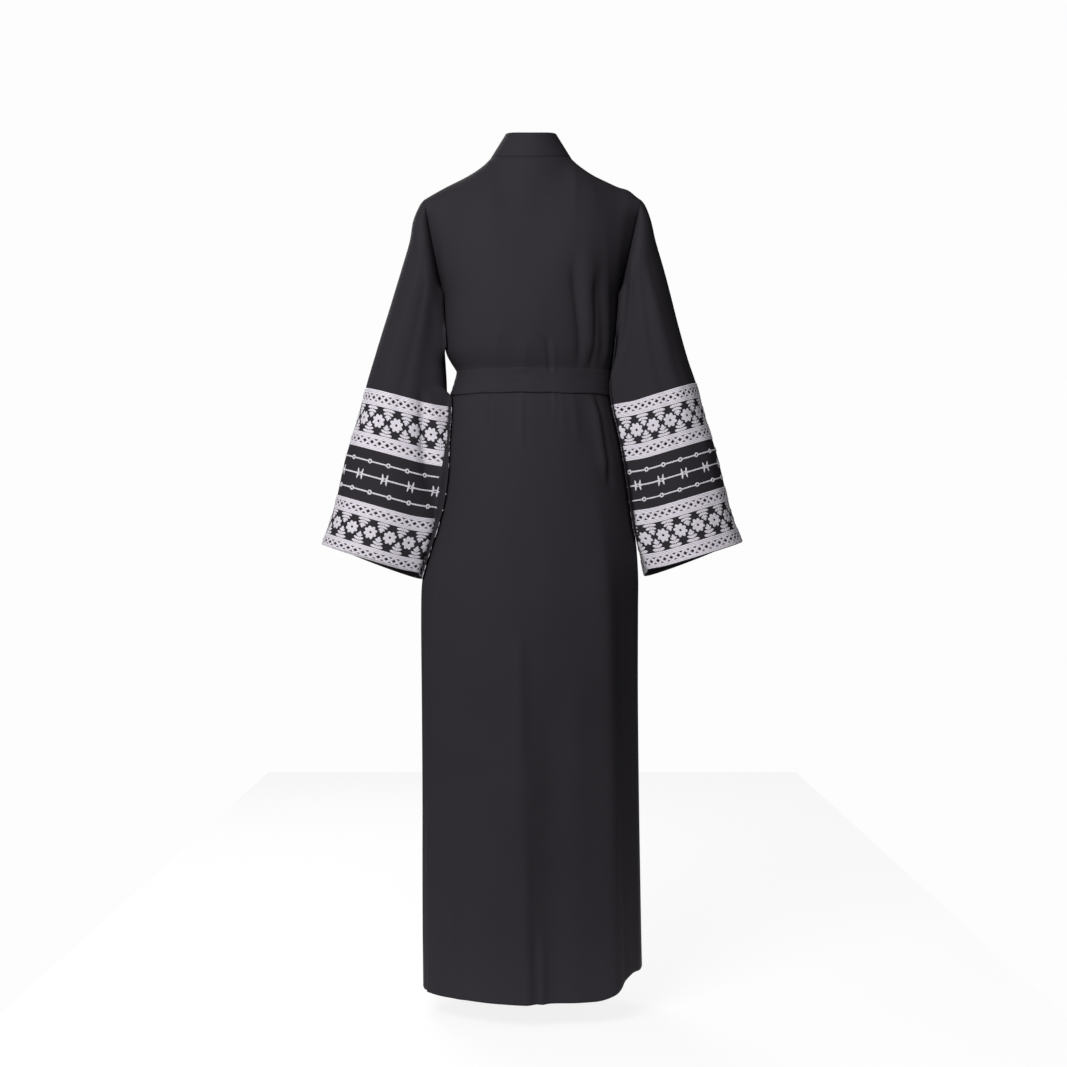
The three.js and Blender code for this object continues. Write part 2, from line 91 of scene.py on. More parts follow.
# z, half-width to the wearer's left and right, depth behind and in front
trunkRows = [
    (-215, 150, 150, 106, 112),
    (-262, 149, 148.2, 105, 112),
    (-305, 146.4, 144.8, 101, 107),
    (-325, 136.5, 141.6, 96, 101),
    (-340, 127.8, 138.8, 90, 95),
    (-360, 131, 138, 89, 94),
    (-381, 137.6, 138.2, 92, 95),
    (-400, 139.8, 141.4, 98, 98),
    (-456, 143.1, 153, 108, 103),
    (-516, 150.5, 165, 118, 108),
    (-576, 158, 173, 126, 112),
    (-636, 171, 181, 131, 116),
    (-690, 185, 184.5, 134, 118),
    (-740, 188, 184.5, 137, 120),
    (-900, 187.5, 184, 141, 126),
    (-1075, 186, 185, 143, 130),
    (-1250, 186, 188, 145, 134),
    (-1400, 185, 191, 146, 136),
]

# slow waves of hanging cloth: height out, degrees a radian, mm a radian
waves = {"all": (0.55, 5.3, 210), "hung": (0.5, 8.1, -390)}

# trunk folds: turn at top and bottom in degrees from the centre back (+ to the wearer's left),
# top z, bottom z, width in degrees, height out; those in sharpFolds break along a line
trunkFolds = [
    # the long folds that the cut panels carry
    (66, 69, -690, -1330, 8, 4),
    (75, 77, -690, -1330, 6, -4),
    (12, 6, -620, -1500, 11, 4),
    (-15, -12, -820, -1500, 11, -5),
    (50, 44, -1130, -1500, 12, -4),
    (-47, -50, -560, -1500, 10, 4),
    (-66, -68, -560, -1500, 11, -5),
    (-44, -56, -120, -335, 9, 5),
    (-57, -60, -385, -520, 7, 4),
    (112, 118, -480, -1500, 12, -6),
    (140, 142, -560, -1500, 12, 6),
    (-116, -120, -470, -1500, 13, -6),
    (-141, -146, -540, -1500, 12, 6),
    # bodice, behind
    (-36, -50, -130, -345, 3.4, -2.6),
    (-54, -63, -150, -345, 3.0, -2.4),
    (-62, -68, -170, -345, 3.6, 2.2),
    (-14, -21, -285, -350, 2.2, -2.8),
    (-19, -25, -290, -350, 2.0, 1.8),
    (28, 34, -262, -350, 4.0, 1.6),
    (44, 50, -240, -350, 4.5, -1.8),
    (4, 7, -286, -348, 5.0, 1.3),
    # gathers just under the belt, behind
    (-22.6, -21, -372, -446, 2.0, 2.6),
    (-25.5, -25, -372, -436, 1.8, -2.2),
    (-57, -54, -372, -540, 2.4, 3.0),
    (-61, -59, -372, -520, 2.2, -2.6),
    (9.3, 8, -372, -478, 2.6, 1.8),
    (36, 33, -372, -470, 3.0, 1.7),
    (41, 39, -372, -452, 2.4, -1.6),
    (-40, -38, -372, -470, 3.0, 1.5),
    # skirt, behind
    (6.8, 5.0, -760, -1010, 3.2, 1.8),
    (3.2, 1.4, -1060, -1520, 2.6, 1.8),
    (-2.2, -4.2, -1240, -1520, 2.0, -3.2),
    (-7.4, -8.0, -1250, -1520, 2.4, 2.4),
    (52, 45, -1170, -1400, 3.0, 2.0),
    (63, 66, -640, -1260, 2.4, 2.4),
    (70.5, 72.5, -640, -1400, 2.2, -2.6),
    (79, 80, -660, -1380, 3.0, 2.0),
    (-57, -60, -620, -1480, 4.0, -2.4),
    (-73, -75, -620, -1480, 4.0, 2.6),
    (24, 22, -900, -1500, 7.0, 1.6),
    (-30, -28, -760, -1500, 7.0, 1.4),
    # bodice, in front
    (128, 122, -160, -346, 5.0, 2.4),
    (136, 131, -200, -346, 4.0, -2.2),
    (-126, -120, -150, -346, 5.0, 2.6),
    (-137, -131, -210, -346, 4.0, -2.0),
    (152, 149, -240, -346, 4.5, 1.8),
    # gathers under the belt, in front
    (120, 118, -372, -500, 3.0, 2.4),
    (133, 131, -372, -560, 3.2, -2.0),
    (150, 149, -372, -470, 3.0, 1.8),
    (-122, -120, -372, -520, 3.0, 2.6),
    (-138, -137, -372, -580, 3.4, -2.2),
    (-153, -152, -372, -460, 2.6, 1.6),
    # skirt, in front
    (104, 107, -600, -1500, 4.5, 2.4),
    (126, 129, -640, -1500, 5.0, 2.2),
    (152, 155, -700, -1500, 6.0, -2.4),
    (-103, -106, -610, -1500, 4.5, 2.2),
    (-129, -133, -660, -1500, 5.0, 2.4),
    (-155, -158, -720, -1500, 6.0, -2.2),
]

sharpFolds = [
    (6, 1.5, -900, -1520, 26, 11),  # the pressed-looking edge down the lower skirt
    (9.5, 7.0, -770, -1000, 5, 2.2),
    (-46, -50, -420, -1540, 15, 8.0),
    (67, 70, -600, -1400, 4, 2.6),
    (54, 47, -1190, -1350, 5, 2.6),
    (-6.5, -8, -1280, -1520, 3, 3.0),
    (-34, -46, -150, -345, 5, -5.5),
    (-43, -50, -190, -350, 5, 3.0),
    (-52, -56, -170, -350, 4.5, -5.5),
    (-21, -22, -372, -450, 3, -3.2),
    (-24.5, -26, -372, -440, 3, 2.6),
    (-54, -53, -372, -520, 3, 2.6),
    (-59, -58, -372, -560, 3.4, -3.4),
    (118, 121, -600, -1500, 9, 4.5),
    (160, 158, -900, -1500, 8, 3.6),
    (-111, -114, -620, -1500, 9, 4.5),
    (-148, -152, -800, -1500, 10, 4.0),
    (132, 124, -150, -345, 5, -3.4),
    (-130, -122, -150, -345, 5, -3.4),
]

# sleeve sections from armhole to cuff: outer x, outer z, inner x, inner z, half depth
sleeveRows = {
    1: [
        (184, -43, 150, -215, 52),
        (192, -54, 151.2, -223, 54),
        (203, -80, 151.8, -240, 57),
        (209, -116, 150.5, -264, 59),
        (222, -162, 148.5, -294, 60),
        (238, -213, 147, -324, 60),
        (255, -267, 145.5, -353, 59),
        (270, -319, 144, -380, 58),
        (284, -366, 142.5, -404, 57),
        (297, -413.5, 146, -454, 58.5),
        (311, -460.5, 150.5, -504, 60),
        (322, -500.5, 155.4, -546, 61.5),
        (331, -540, 162.2, -587, 63),
        (343, -587.5, 173.5, -637, 65),
        (359, -635, 186.6, -688, 67),
    ],
    -1: [
        (189, -43, 150, -215, 52),
        (197, -54, 151.2, -223, 54),
        (207, -80, 151.6, -240, 57),
        (215, -116, 150, -264, 59),
        (228, -162, 147.5, -294, 60),
        (242, -213, 144.5, -324, 60),
        (256, -267, 142, -353, 59),
        (270, -319, 142, -380, 58),
        (285.5, -364, 146, -405, 57),
        (299, -412, 157, -455, 58.5),
        (313, -459, 165, -503, 60),
        (324, -499, 170.6, -545, 61.5),
        (334, -538, 176.2, -585, 63),
        (346, -585, 184.4, -634, 65),
        (363, -631, 194.4, -683, 67),
    ],
}
sleeveEnd = 14

# sleeve folds: around at top and bottom in degrees from the outer edge (90 is the back),
# first and last section, width in degrees, height out
sleeveFolds = {
    1: [
        (62, 62, 3, 9, 22, 4),
        (118, 118, 2, 8, 20, -5),
        (150, 150, 4, 13, 18, 3.5),
        (255, 255, 3, 10, 24, -5),
        (300, 300, 4, 13, 24, 4),
        (74, 58, 1, 8, 7, 2.2),
        (92, 84, 2, 9, 8, -2.2),
        (108, 157, 7, 14, 7, -7),
        (121, 168, 7, 14, 8, 5),
        (38, 42, 5, 13, 10, 1.8),
        (230, 226, 2, 12, 9, 2.4),
        (282, 276, 5, 15, 9, -2.4),
    ],
    -1: [
        (62, 62, 3, 9, 22, 4),
        (118, 118, 2, 8, 20, -5),
        (150, 150, 4, 13, 18, 3.5),
        (255, 255, 3, 10, 24, -5),
        (300, 300, 4, 13, 24, 4),
        (96, 138, 0, 6, 9, 3.6),
        (118, 150, 0, 6, 7, -3.0),
        (70, 60, 2, 9, 8, 2.2),
        (84, 80, 3, 10, 7, -2.0),
        (150, 154, 8, 15, 7, -2.6),
        (44, 40, 6, 14, 10, 1.8),
        (232, 228, 2, 12, 9, 2.4),
        (280, 284, 5, 15, 9, -2.4),
    ],
}


def sideName(side):
    return "left" if side > 0 else "right"


def mix(a, b, t):
    return a + (b - a) * t


def smooth(x, low, high):
    t = min(1, max(0, (x - low) / (high - low)))
    return t * t * (3 - 2 * t)


@functools.lru_cache(maxsize=None)
def trunkSize(z, column):
    rows = trunkRows
    i = 0
    while i < len(rows) - 2 and z < rows[i + 1][0]:
        i += 1
    a, b = rows[i], rows[i + 1]
    before, after = rows[max(i - 1, 0)], rows[min(i + 2, len(rows) - 1)]
    span = b[0] - a[0]
    t = min(1, max(0, (z - a[0]) / span))
    slopeA = (b[column] - before[column]) / ((b[0] - before[0]) or 1) * span
    slopeB = (after[column] - a[column]) / ((after[0] - a[0]) or 1) * span
    return (
        (2 * t**3 - 3 * t * t + 1) * a[column]
        + (t**3 - 2 * t * t + t) * slopeA
        + (3 * t * t - 2 * t**3) * b[column]
        + (t**3 - t * t) * slopeB
    )


@functools.lru_cache(maxsize=None)
def foldsAt(z):  # the folds that cross this height: centre, width, height out
    found = []
    rows = [(row, False) for row in trunkFolds] + [(row, True) for row in sharpFolds]
    for (turnTop, turnBottom, top, bottom, wide, out), sharp in rows:
        along = (top - z) / (top - bottom)
        if not 0 < along < 1:
            continue
        grow = smooth(along, 0, 0.25)
        if bottom > garment["hemZ"]:
            grow *= 1 - smooth(along, 0.8, 1)
        found.append((mix(turnTop, turnBottom, along), wide, out * grow, sharp))
    return found


def foldOut(turn, z):  # how far all the folds together stand out of the smooth form
    out = 0
    for centre, wide, height, sharp in foldsAt(z):
        across = (turn - centre) / wide
        if abs(across) > 3.5:
            continue
        fall = 1.5 * (math.sqrt(across * across + 0.02) - 0.141) if sharp else across * across
        out += height * math.exp(-fall)
    high, perTurn, perHeight = waves["all"]
    out += high * math.sin(turn / perTurn + z / perHeight) * math.sin(z / 131 + 1.3)
    high, perTurn, perHeight = waves["hung"]
    out += high * smooth(-z, 380, 620) * math.sin(turn / perTurn + z / perHeight + 2)
    return out


def trunkPoint(turn, z, out=0):
    a = math.radians(turn)
    sin, cos = math.sin(a), math.cos(a)
    width = trunkSize(z, 1 if sin >= 0 else 2)
    depth = trunkSize(z, 3 if cos >= 0 else 4)
    power = garment["roundness"]
    reach = (abs(sin) / width) ** power + (abs(cos) / depth) ** power
    radius = reach ** (-1 / power) + foldOut(turn, z) + out
    return Vector((radius * sin, radius * cos, z))


@functools.lru_cache(maxsize=None)
def frontTurn(x, z):  # the turn at which the trunk's front has this width
    turn = 180 if x >= 0 else -180
    for _ in range(6):
        p = trunkPoint(turn, z)
        turn = 180 - math.degrees(math.asin(x / math.hypot(p.x, p.y)))
        if turn > 180:
            turn -= 360
    return turn


def hemAt(turn):  # the hem hangs higher at the wearer's right side
    right = smooth(-turn, 38, 72) * (1 - smooth(-turn, 120, 165)) if turn < 0 else 0
    return garment["hemZ"] + garment["hemRise"] * right


def shoulderPoint(share, side, y):  # share runs from the collar to the armhole
    g = garment
    x = mix(g["neckX"], g["tipLeft"] if side > 0 else g["tipRight"], share)
    dip = g["shoulderDip"] * share * (1 - share) ** 3
    if side < 0:  # the cloth stands up a little at the right shoulder
        dip -= g["bumpHigh"] * math.exp(-((share - g["bumpAt"]) / g["bumpWide"]) ** 2) * (1 - share**12)
    return Vector((side * x, y, mix(g["neckZ"], g["tipZ"], share) - dip))


# from the underarm's height (low) to the shoulder seam (high); edge is 1 at the armhole
def yokePoint(low, high, rise, edge, roundShare, facing):
    a = rise * math.pi / 2
    power = 0.84  # fuller than a quarter circle
    atEdge = edge**3
    ring = (1 - math.cos(rise * math.pi)) / 2
    rolledAcross = 1 - max(0, math.cos(a)) ** power
    across = mix(mix(rise**1.8, rolledAcross, roundShare), ring, atEdge)
    up = mix(mix(rise, math.sin(a) ** power, roundShare), ring, atEdge)
    bulge = facing * garment["armholeDepth"] * math.sin(rise * math.pi) * edge**2.2
    p = Vector((mix(low.x, high.x, across), mix(low.y, high.y, across) + bulge, mix(low.z, high.z, up)))
    push = foldOut(math.degrees(math.atan2(p.x, p.y)), p.z) - foldOut(
        math.degrees(math.atan2(low.x, low.y)), low.z
    )  # folds run on up into the yoke
    away = Vector((p.x, p.y, 0)).normalized()
    return p + away * push * (1 - smooth(rise, 0.55, 0.95)) * (1 - atEdge)


def armholeSink(z, away):  # how deep the cloth sinks beside the armhole seam
    deep = garment["armholeSink"] * smooth(-z, 45, 90) * (1 - smooth(-z, 190, 213))
    across = away / garment["armholeSinkWide"]
    return deep * (0.55 * math.exp(-across * across) + 0.45 * math.exp(-3 * across))


def backPoint(u, v):  # u from the wearer's right to left, v from -1 at the hem to 1 at the shoulder
    g = garment
    s = 2 * u - 1
    side, edge = (-1 if s < 0 else 1), abs(s)
    turn = 90 * s
    if v <= 0:
        return trunkPoint(turn, mix(g["underarmZ"], hemAt(turn), -v))
    y = g["shoulderY"] + g["seam"]
    if edge < g["neckShare"]:
        a = edge / g["neckShare"] * math.pi / 2
        high = Vector((
            side * g["neckX"] * math.sin(a),
            y + (g["backNeckY"] - y) * math.cos(a),
            mix(g["backNeckZ"], g["neckZ"], math.sin(a) ** 2) - g["seam"],
        ))
    else:
        high = shoulderPoint((edge - g["neckShare"]) / (1 - g["neckShare"]), side, y)
    p = yokePoint(trunkPoint(turn, g["underarmZ"]), high, v, edge, smooth(edge, 0.05, 0.6), 1)
    p.y -= armholeSink(p.z, (1 - edge) * 185)
    return p


def seamX(z):  # the V of the neck, down to the centre line
    g = garment
    return min(0, -g["neckX"] * ((z - g["vBottom"]) / (g["neckZ"] - g["vBottom"])))


def layerOut(side, x, z):  # the right front lies over the left one
    if side > 0:
        return 0
    return garment["overlapOut"] * smooth(x, -85, -55) * smooth(-z, 25, 90)


def frontPoint(side, u, v):
    g = garment

    def turnAt(z, share):
        start = frontTurn(-side * (seamX(z) - g["seam"]), z)
        return mix(start + side * 360 if start * side < 0 else start, side * 90, share)

    def rising(share):
        low = trunkPoint(turnAt(g["underarmZ"], share), g["underarmZ"])
        high = shoulderPoint(share, side, g["shoulderY"] - g["seam"])
        return yokePoint(low, high, v, share, mix(0.45, 1, smooth(share, 0, 0.5)), -1)

    if v <= 0:
        z = mix(g["underarmZ"], hemAt(turnAt(g["hemZ"], u)), -v)
        p = trunkPoint(turnAt(z, u), z)
    else:
        p = rising(u)
        p.y += 0.7 * armholeSink(p.z, (1 - u) * 150)
        edge = rising(0)
        p.x += (-side * (seamX(edge.z) - g["seam"]) - edge.x) * (1 - u) ** 3
    p.y -= layerOut(side, p.x, p.z)
    return p


def bandPoint(side, u, v):  # u from the front's edge, v from -1 at the hem to 0 at the underarm
    g = garment
    # the inner layer's seam is closed, so that no light passes
    start = -g["seam"] if side > 0 else g["seam"]
    at = lambda z: -side * (seamX(z) + start + u * g["bandWidth"])
    z = mix(g["underarmZ"], hemAt(frontTurn(at(g["hemZ"]), g["hemZ"])), -v)
    p = trunkPoint(frontTurn(at(z), z), z)
    p.y -= layerOut(side, p.x, z)
    return p


def collarPoint(side, q, w):  # q: 0 centre back, 1 shoulder seam, 2 underarm; w: seam to free edge
    g = garment
    if q <= 1:
        a = q * math.pi / 2
        sin, cos = math.sin(a), math.cos(a)
        seam = Vector((
            side * g["neckX"] * sin,
            g["shoulderY"] + (g["backNeckY"] - g["shoulderY"]) * cos,
            mix(g["backNeckZ"], g["neckZ"], sin * sin) + g["seam"],
        ))
        top = Vector((
            side * g["topX"] * sin,
            g["shoulderY"] + g["topY"] * cos,
            mix(g["topBack"], g["topSide"], sin * sin),
        ))
        return seam.lerp(top, w)
    rise = 2 - q
    p = frontPoint(side, 0, max(rise, 1e-6))
    seam = p.copy()
    tilt = math.radians(g["bandTilt"] * rise**1.8)
    sideHeight = math.hypot(g["neckX"] - g["topX"], g["topSide"] - g["neckZ"])
    reach = w * mix(g["bandWidth"], sideHeight, rise**3)
    p.x -= side * (2 * g["seam"] + reach * math.cos(tilt))
    p.z += reach * math.sin(tilt)
    z = g["underarmZ"]
    chest = lambda x: trunkPoint(frontTurn(round(x, 3), z), z).y - layerOut(side, x, z)
    p.y += (chest(p.x) - chest(seam.x)) * (1 - smooth(rise, 0, 0.35))
    return p


def beltPoint(turn, z, out):  # in front the belt passes over both layers
    p = trunkPoint(turn, z, out)
    if p.y < 0:
        p.y -= garment["overlapOut"] * smooth(p.x, -95, -60) * (1 - smooth(p.x, 60, 95))
    return p


def leanIn(side, k, around, half):  # behind, the sleeve's inner side leans over the edge of the body
    reach = smooth(k, 0, 1.4) * (1 - 0.5 * smooth(k, 12.5, 14))
    if side > 0:  # an opening stays above the elbow
        reach *= 1 - smooth(k, 4.3, 5.3) * (1 - smooth(k, 6.5, 7.3))
    away = (around - garment["leanAt"]) / garment["leanWide"]
    return (garment["lean"] + garment["leanShare"] * half) * reach * math.exp(-away * away)


def behindBody(x, y, z):  # how far back the sleeve's cloth lies to pass behind the body's edge
    g = garment
    inward = trunkSize(z, 1 if x > 0 else 2) - abs(x)
    clear = mix(g["clearEdge"], g["clear"], smooth(inward, -4, 0))
    body = lambda depth: trunkPoint(math.degrees(math.atan2(x, depth)), z).xy.length
    gap = lambda depth: math.hypot(x, depth) - body(depth) - clear
    low, high = y, y + g["clearReach"]
    if gap(low) >= 0:
        return y
    for _ in range(10):
        middle = (low + high) / 2
        if gap(middle) < 0:
            low = middle
        else:
            high = middle
    return high


def sleevePoint(side, k, around, out=0):  # k counts sections, around in degrees from the outer edge
    rows = sleeveRows[side]
    i = min(int(k), sleeveEnd - 1)
    t = k - i
    before, after = rows[max(i - 1, 0)], rows[min(i + 2, sleeveEnd)]
    ease = lambda j: (
        mix(rows[i][j], rows[i + 1][j], t)
        + t * (1 - t) * (1 - t) * ((rows[i + 1][j] - before[j]) / 2 - (rows[i + 1][j] - rows[i][j]))
        - t * t * (1 - t) * ((after[j] - rows[i][j]) / 2 - (rows[i + 1][j] - rows[i][j]))
    )  # a cubic through the sections
    ox, oz, ix, iz, deep = (ease(j) for j in range(5))
    push = out
    for top, bottom, first, last, wide, height in sleeveFolds[side]:
        along = min(1, max(0, (k - first) / (last - first)))
        across = (around - mix(top, bottom, along)) / wide
        grow = smooth(k, first, first + 2) * (1 - smooth(k, last - 1, last + 1))
        push += height * math.exp(-across * across) * grow
    a = math.radians(around)
    push += 0.5 * math.sin(k * 1.9 + math.radians(3 * around)) * smooth(k, 0, 2)
    halfX, halfZ = (ox - ix) / 2, (oz - iz) / 2
    cos = math.cos(a) * (1 + push / math.hypot(halfX, halfZ))
    lower = garment["cuffDrop"] * (k / sleeveEnd) ** 4 * max(0, math.cos(math.radians(around - 235)))
    z = (oz + iz) / 2 + halfZ * cos - lower
    x = (ox + ix) / 2 + halfX * cos + 2 * garment["seam"] * max(0, 1 - k)
    sink = armholeSink(z, 15 * k) * (1 if math.sin(a) > 0 else -0.7)
    x = side * (x - leanIn(side, k, around, halfX))
    y = garment["shoulderY"] + (deep + push) * math.sin(a) - sink
    if math.sin(a) > 0 > math.cos(a) and k > 3:
        y = mix(y, behindBody(x, y, z), smooth(k, 3, 4))
    return Vector((x, y, z))


# materials

def colour(hexValue):  # sRGB hex to linear
    parts = [int(hexValue[i:i + 2], 16) / 255 for i in (1, 3, 5)]
    return tuple(c / 12.92 if c < 0.04045 else ((c + 0.055) / 1.055) ** 2.4 for c in parts) + (1,)


def addNode(tree, kind, sockets=None, **settings):
    node = tree.nodes.new(kind)
    for name, value in settings.items():
        setattr(node, name, value)
    for name, value in (sockets or {}).items():
        if isinstance(value, bpy.types.NodeSocket):
            tree.links.new(value, node.inputs[name])
        else:
            node.inputs[name].default_value = value
    return node


def newMaterial(name):
    material = bpy.data.materials.new(name)
    material.use_nodes = True
    tree = material.node_tree
    tree.nodes.clear()
    shader = addNode(tree, "ShaderNodeBsdfPrincipled")
    addNode(tree, "ShaderNodeOutputMaterial", {"Surface": shader.outputs["BSDF"]})
    return material, tree, shader


def waveScale(periodMm):  # the Wave texture turns once every 2 pi / 20 units
    return 2 * math.pi / 20 / (periodMm * mm)


crepe = {
    "dark": "#2e2b30",
    "light": "#343136",
    "roughness": 0.7,
    "threadMm": 1.1,  # the real thread is 0.3 mm, too fine to show
    "patchMm": 160,
}


def wovenCrepe(name):
    # woven nida crepe: deep black with a soft satin glow and no visible yarns from a step away
    material, tree, shader = newMaterial(name)
    place = addNode(tree, "ShaderNodeTexCoord")
    patches = addNode(tree, "ShaderNodeTexNoise", {
        "Vector": place.outputs["Object"], "Scale": 1 / (crepe["patchMm"] * mm), "Detail": 3.0,
    })
    tint = addNode(tree, "ShaderNodeMix", {
        "Factor": patches.outputs["Fac"], 6: colour(crepe["dark"]), 7: colour(crepe["light"]),
    }, data_type="RGBA")
    polish = addNode(tree, "ShaderNodeMapRange", {
        "Value": patches.outputs["Fac"], "To Min": crepe["roughness"] - 0.05,
        "To Max": crepe["roughness"] + 0.07,
    })
    across = addNode(tree, "ShaderNodeTexWave", {
        "Vector": place.outputs["UV"], "Scale": waveScale(crepe["threadMm"]), "Distortion": 1.2,
        "Detail": 1.0,
    }, bands_direction="X")
    along = addNode(tree, "ShaderNodeTexWave", {
        "Vector": place.outputs["UV"], "Scale": waveScale(crepe["threadMm"] * 1.3), "Distortion": 1.2,
        "Detail": 1.0,
    }, bands_direction="Y")
    weave = addNode(tree, "ShaderNodeMath", {0: across.outputs["Fac"], 1: along.outputs["Fac"]},
                    operation="MULTIPLY")
    bump = addNode(tree, "ShaderNodeBump", {
        "Height": weave.outputs[0], "Strength": 0.2, "Distance": 0.1 * mm,
    })
    tree.links.new(tint.outputs[2], shader.inputs["Base Color"])
    tree.links.new(polish.outputs[0], shader.inputs["Roughness"])
    tree.links.new(bump.outputs[0], shader.inputs["Normal"])
    shader.inputs["Specular IOR Level"].default_value = 0.05
    return material


thread = {
    "white": "#fcf8fd",
    # painted shade: the colour laid into the grooves between the threads
    "shade": "#bbb2c4",
    "roughness": 0.5,
    "lineMm": 1.1,  # rayon thread is 0.4 mm, drawn coarser so that its lines show
}


def rayonThread(name):
    # satin-stitched rayon: bright white, with painted lilac-grey shade in the grooves between the
    # threads
    material, tree, shader = newMaterial(name)
    place = addNode(tree, "ShaderNodeTexCoord")
    lines = addNode(tree, "ShaderNodeTexWave", {
        "Vector": place.outputs["UV"], "Scale": waveScale(thread["lineMm"]), "Distortion": 0.6,
        "Detail": 1.0,
    }, bands_direction="X")
    # the wave's lines paint shade into the grooves and also drive the bump
    tint = addNode(tree, "ShaderNodeMix", {
        "Factor": lines.outputs["Fac"], 6: colour(thread["shade"]), 7: colour(thread["white"]),
    }, data_type="RGBA")
    bump = addNode(tree, "ShaderNodeBump", {
        "Height": lines.outputs["Fac"], "Strength": 0.5, "Distance": 0.25 * mm,
    })
    tree.links.new(tint.outputs[2], shader.inputs["Base Color"])
    tree.links.new(bump.outputs[0], shader.inputs["Normal"])
    shader.inputs["Roughness"].default_value = thread["roughness"]
    shader.inputs["Sheen Weight"].default_value = 0.15
    return material


blackCrepe = wovenCrepe("woven nida crepe")
beltCrepe = wovenCrepe("woven nida crepe, doubled")
whiteRayon = rayonThread("rayon embroidery thread")
print("materials made")


# cloth panels

def finishMesh(bm, name, material, thick=0, nodes=()):
    mesh = bpy.data.meshes.new(name)
    bm.to_mesh(mesh)
    bm.free()
    mesh.materials.append(material)
    mesh.polygons.foreach_set("use_smooth", [True] * len(mesh.polygons))
    piece = bpy.data.objects.new(name, mesh)
    bpy.context.scene.collection.objects.link(piece)
    if thick:
        wall = piece.modifiers.new("wall", "SOLIDIFY")
        wall.thickness = thick * mm
        wall.offset = -1
        wall.use_even_offset = False
    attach(piece, "root")
    if nodes:
        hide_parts(*nodes)
    return piece


def clothGrid(surface, columns, rows, size, outward, closed=False, at=lambda t: t):
    bm = bmesh.new()
    layer = bm.loops.layers.uv.new("cloth")
    bmesh.ops.create_grid(bm, x_segments=columns, y_segments=rows, size=0.5, calc_uvs=True)
    for face in bm.faces:
        for loop in face.loops:
            u, v = loop.vert.co.x + 0.5, loop.vert.co.y + 0.5
            loop[layer].uv = (u * size[0] * mm, v * size[1] * mm)
    for v in bm.verts:
        v.co = surface(at(round(v.co.x + 0.5, 9)), round(v.co.y + 0.5, 9)) * mm
    if closed:
        bmesh.ops.remove_doubles(bm, verts=bm.verts[:], dist=0.001 * mm)
    bm.normal_update()
    bm.faces.ensure_lookup_table()
    sample = bm.faces[len(bm.faces) // 2 + columns // 2]
    if sample.normal.dot(sample.calc_center_median() - Vector(outward) * mm) < 0:
        bmesh.ops.reverse_faces(bm, faces=bm.faces[:])
        bm.normal_update()
    return bm


def denseEnds(t):  # more columns near both side seams
    return t - 0.6 * math.sin(2 * math.pi * t) / (2 * math.pi)


def bodyRow(t, yokeShare=0.18):  # rows from the hem (0) to the shoulder (1) as the panels' own v
    return (t / (1 - yokeShare)) - 1 if t < 1 - yokeShare else (t - 1 + yokeShare) / yokeShare


def seamDip(p, away):  # the cloth dips towards its stitched side seam
    near = max(0, 1 - away / 3.0)
    return p + (Vector((0, 0, p.z)) - p).normalized() * garment["seamSink"] * near * near


panels = {
    "backColumns": 150,
    "frontColumns": 76,
    "rows": 230,
    "thick": 1.1,
    "backCut": (560, 1450),
    "frontCut": (300, 1450),
    "bandGrid": (10, 190),
    "bandCut": (46, 1200),
    "collarGrid": (160, 12),
    "collarCut": (760, 46),
    "doubled": 1.5,  # bands and collar are two layers of cloth
}
inTheSkirt = (0, 0, -700)  # a place inside the trunk, from which its pieces face away


def makeBack():
    def surface(u, t):
        v = bodyRow(t)
        p = backPoint(u, v)
        return seamDip(p, min(u, 1 - u) * 520) if v < 0 else p

    bm = clothGrid(surface, panels["backColumns"], panels["rows"], panels["backCut"], inTheSkirt,
                   at=denseEnds)
    return finishMesh(bm, "backPanel", blackCrepe, panels["thick"],
                      ["bodice_back", "skirt_back"])


def makeFront(side):
    def surface(u, t):
        v = bodyRow(t)
        p = frontPoint(side, u, v)
        return seamDip(p, (1 - u) * 270) if v < 0 else p

    name = sideName(side)
    bm = clothGrid(surface, panels["frontColumns"], panels["rows"], panels["frontCut"], inTheSkirt)
    return finishMesh(bm, name + "Front", blackCrepe, panels["thick"],
                      ["bodice_front_" + name, "skirt_front_" + name])


def makeBand(side):
    name = sideName(side)
    bm = clothGrid(lambda u, t: bandPoint(side, u, t - 1), *panels["bandGrid"], panels["bandCut"],
                   inTheSkirt)
    return finishMesh(bm, name + "FrontBand", blackCrepe, panels["doubled"],
                      ["front_band_" + name])


def makeCollar():
    def surface(u, w):
        q = 4 * u - 2
        return collarPoint(-1 if q < 0 else 1, abs(q), w)

    bm = clothGrid(surface, *panels["collarGrid"], panels["collarCut"], (0, -20, 40))
    return finishMesh(bm, "standCollar", blackCrepe, panels["doubled"], ["collar"])


back = makeBack()
fronts = [makeFront(1), makeFront(-1)]
bands = [makeBand(1), makeBand(-1)]
collar = makeCollar()
print("trunk panels, bands and collar made")

sleeves = {"columns": 130, "rows": 130, "thick": 1.1, "cut": (500, 600)}


def makeSleeve(side):
    name = sideName(side)
    inside = sleevePoint(side, 7, 0).lerp(sleevePoint(side, 7, 180), 0.5)
    bm = clothGrid(lambda u, t: sleevePoint(side, sleeveEnd * t, 360 * u), sleeves["columns"],
                   sleeves["rows"], sleeves["cut"], inside, closed=True)
    return finishMesh(bm, name + "Sleeve", blackCrepe, sleeves["thick"],
                      ["sleeve_" + name])


sleevePieces = {1: makeSleeve(1), -1: makeSleeve(-1)}
print("sleeves made")

belt = {
    "columns": 300,
    "rows": 18,
    "lowerOut": 2.1,  # off the body at its lower edge and at its upper edge
    "upperOut": 0.3,
    "swell": 0.9,
    "thick": 0.8,
    "cut": (820, 42),
}


